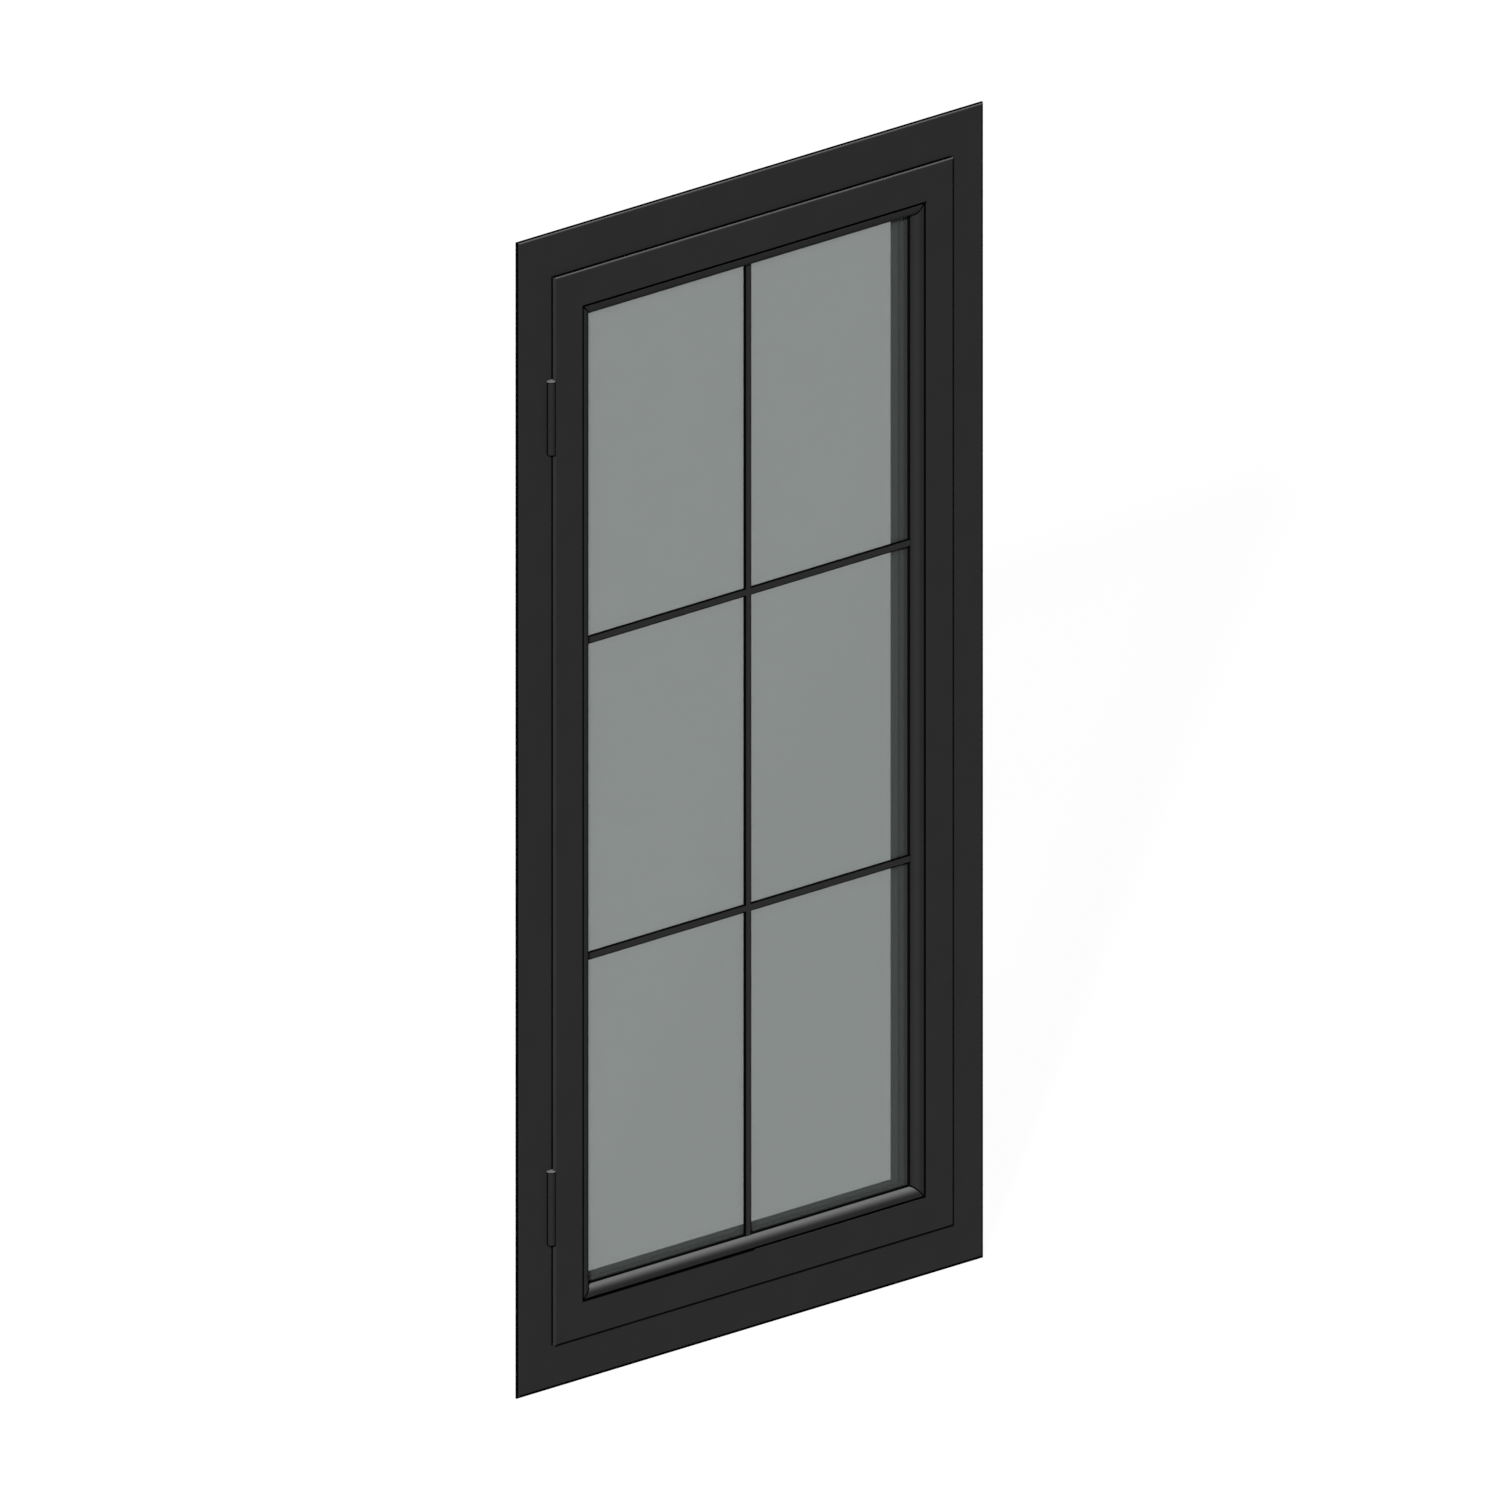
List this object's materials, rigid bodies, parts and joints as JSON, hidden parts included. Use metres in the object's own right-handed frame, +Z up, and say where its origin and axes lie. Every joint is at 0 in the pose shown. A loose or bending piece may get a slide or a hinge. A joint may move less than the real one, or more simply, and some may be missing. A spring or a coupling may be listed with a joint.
{
  "type": "aluminium casement window",
  "caption": "Side-hung aluminium casement window: frame with a cover flange, hinged sash, sealed tinted glass unit and flat glazing bars on the outside.",
  "frame": {"origin": "middle of the back face of the cover flange along the sill, where it bears on the wall", "axes": "+X along the window to the right as seen from outdoors, +Y indoors, +Z up"},
  "size_m": [0.682, 0.0591, 1.2966],
  "materials": {
    "frame_paint": "satin dark grey powder coat",
    "sash_paint": "satin dark grey powder coat",
    "bead_paint": "satin dark grey powder coat",
    "bar_paint": "satin dark grey powder coat",
    "hinge_paint": "satin dark grey powder coat",
    "gasket_rubber": "matt black",
    "inner_gasket_rubber": "matt dark grey",
    "seal_rubber": "matt black",
    "spacer_metal": "dark anodised",
    "outer_glass": "grey-green tinted",
    "inner_glass": "grey-green tinted",
    "edge_sealant": "matt black",
    "bar_tape": "matt black foam",
    "block_plastic": "matt black",
    "pin_steel": "bright"
  },
  "bodies": {
    "root": {"frame_left_jamb": "frame_paint", "frame_right_jamb": "frame_paint", "frame_head": "frame_paint", "frame_sill": "frame_paint", "sash_hinge_stile": "sash_paint", "sash_lock_stile": "sash_paint", "sash_top_rail": "sash_paint", "sash_bottom_rail": "sash_paint", "glazing_bead_left": "bead_paint", "outer_gasket_left": "gasket_rubber", "inner_gasket_left": "inner_gasket_rubber", "outer_seal_left": "seal_rubber", "inner_seal_left": "seal_rubber", "spacer_left": "spacer_metal", "glazing_bead_right": "bead_paint", "outer_gasket_right": "gasket_rubber", "inner_gasket_right": "inner_gasket_rubber", "outer_seal_right": "seal_rubber", "inner_seal_right": "seal_rubber", "spacer_right": "spacer_metal", "glazing_bead_top": "bead_paint", "outer_gasket_top": "gasket_rubber", "inner_gasket_top": "inner_gasket_rubber", "outer_seal_top": "seal_rubber", "inner_seal_top": "seal_rubber", "spacer_top": "spacer_metal", "glazing_bead_bottom": "bead_paint", "outer_gasket_bottom": "gasket_rubber", "inner_gasket_bottom": "inner_gasket_rubber", "outer_seal_bottom": "seal_rubber", "inner_seal_bottom": "seal_rubber", "spacer_bottom": "spacer_metal", "outer_pane": "outer_glass", "inner_pane": "inner_glass", "edge_sealant": "edge_sealant", "setting_blocks": "block_plastic", "glazing_bar_upright": "bar_paint", "glazing_bar_upper": "bar_paint", "glazing_bar_lower": "bar_paint", "glazing_bar_tapes": "bar_tape", "lower_hinge_frame_leaf": "hinge_paint", "lower_hinge_sash_leaf": "hinge_paint", "upper_hinge_frame_leaf": "hinge_paint", "upper_hinge_sash_leaf": "hinge_paint", "hinge_pins": "pin_steel"}
  },
  "joints": []
}
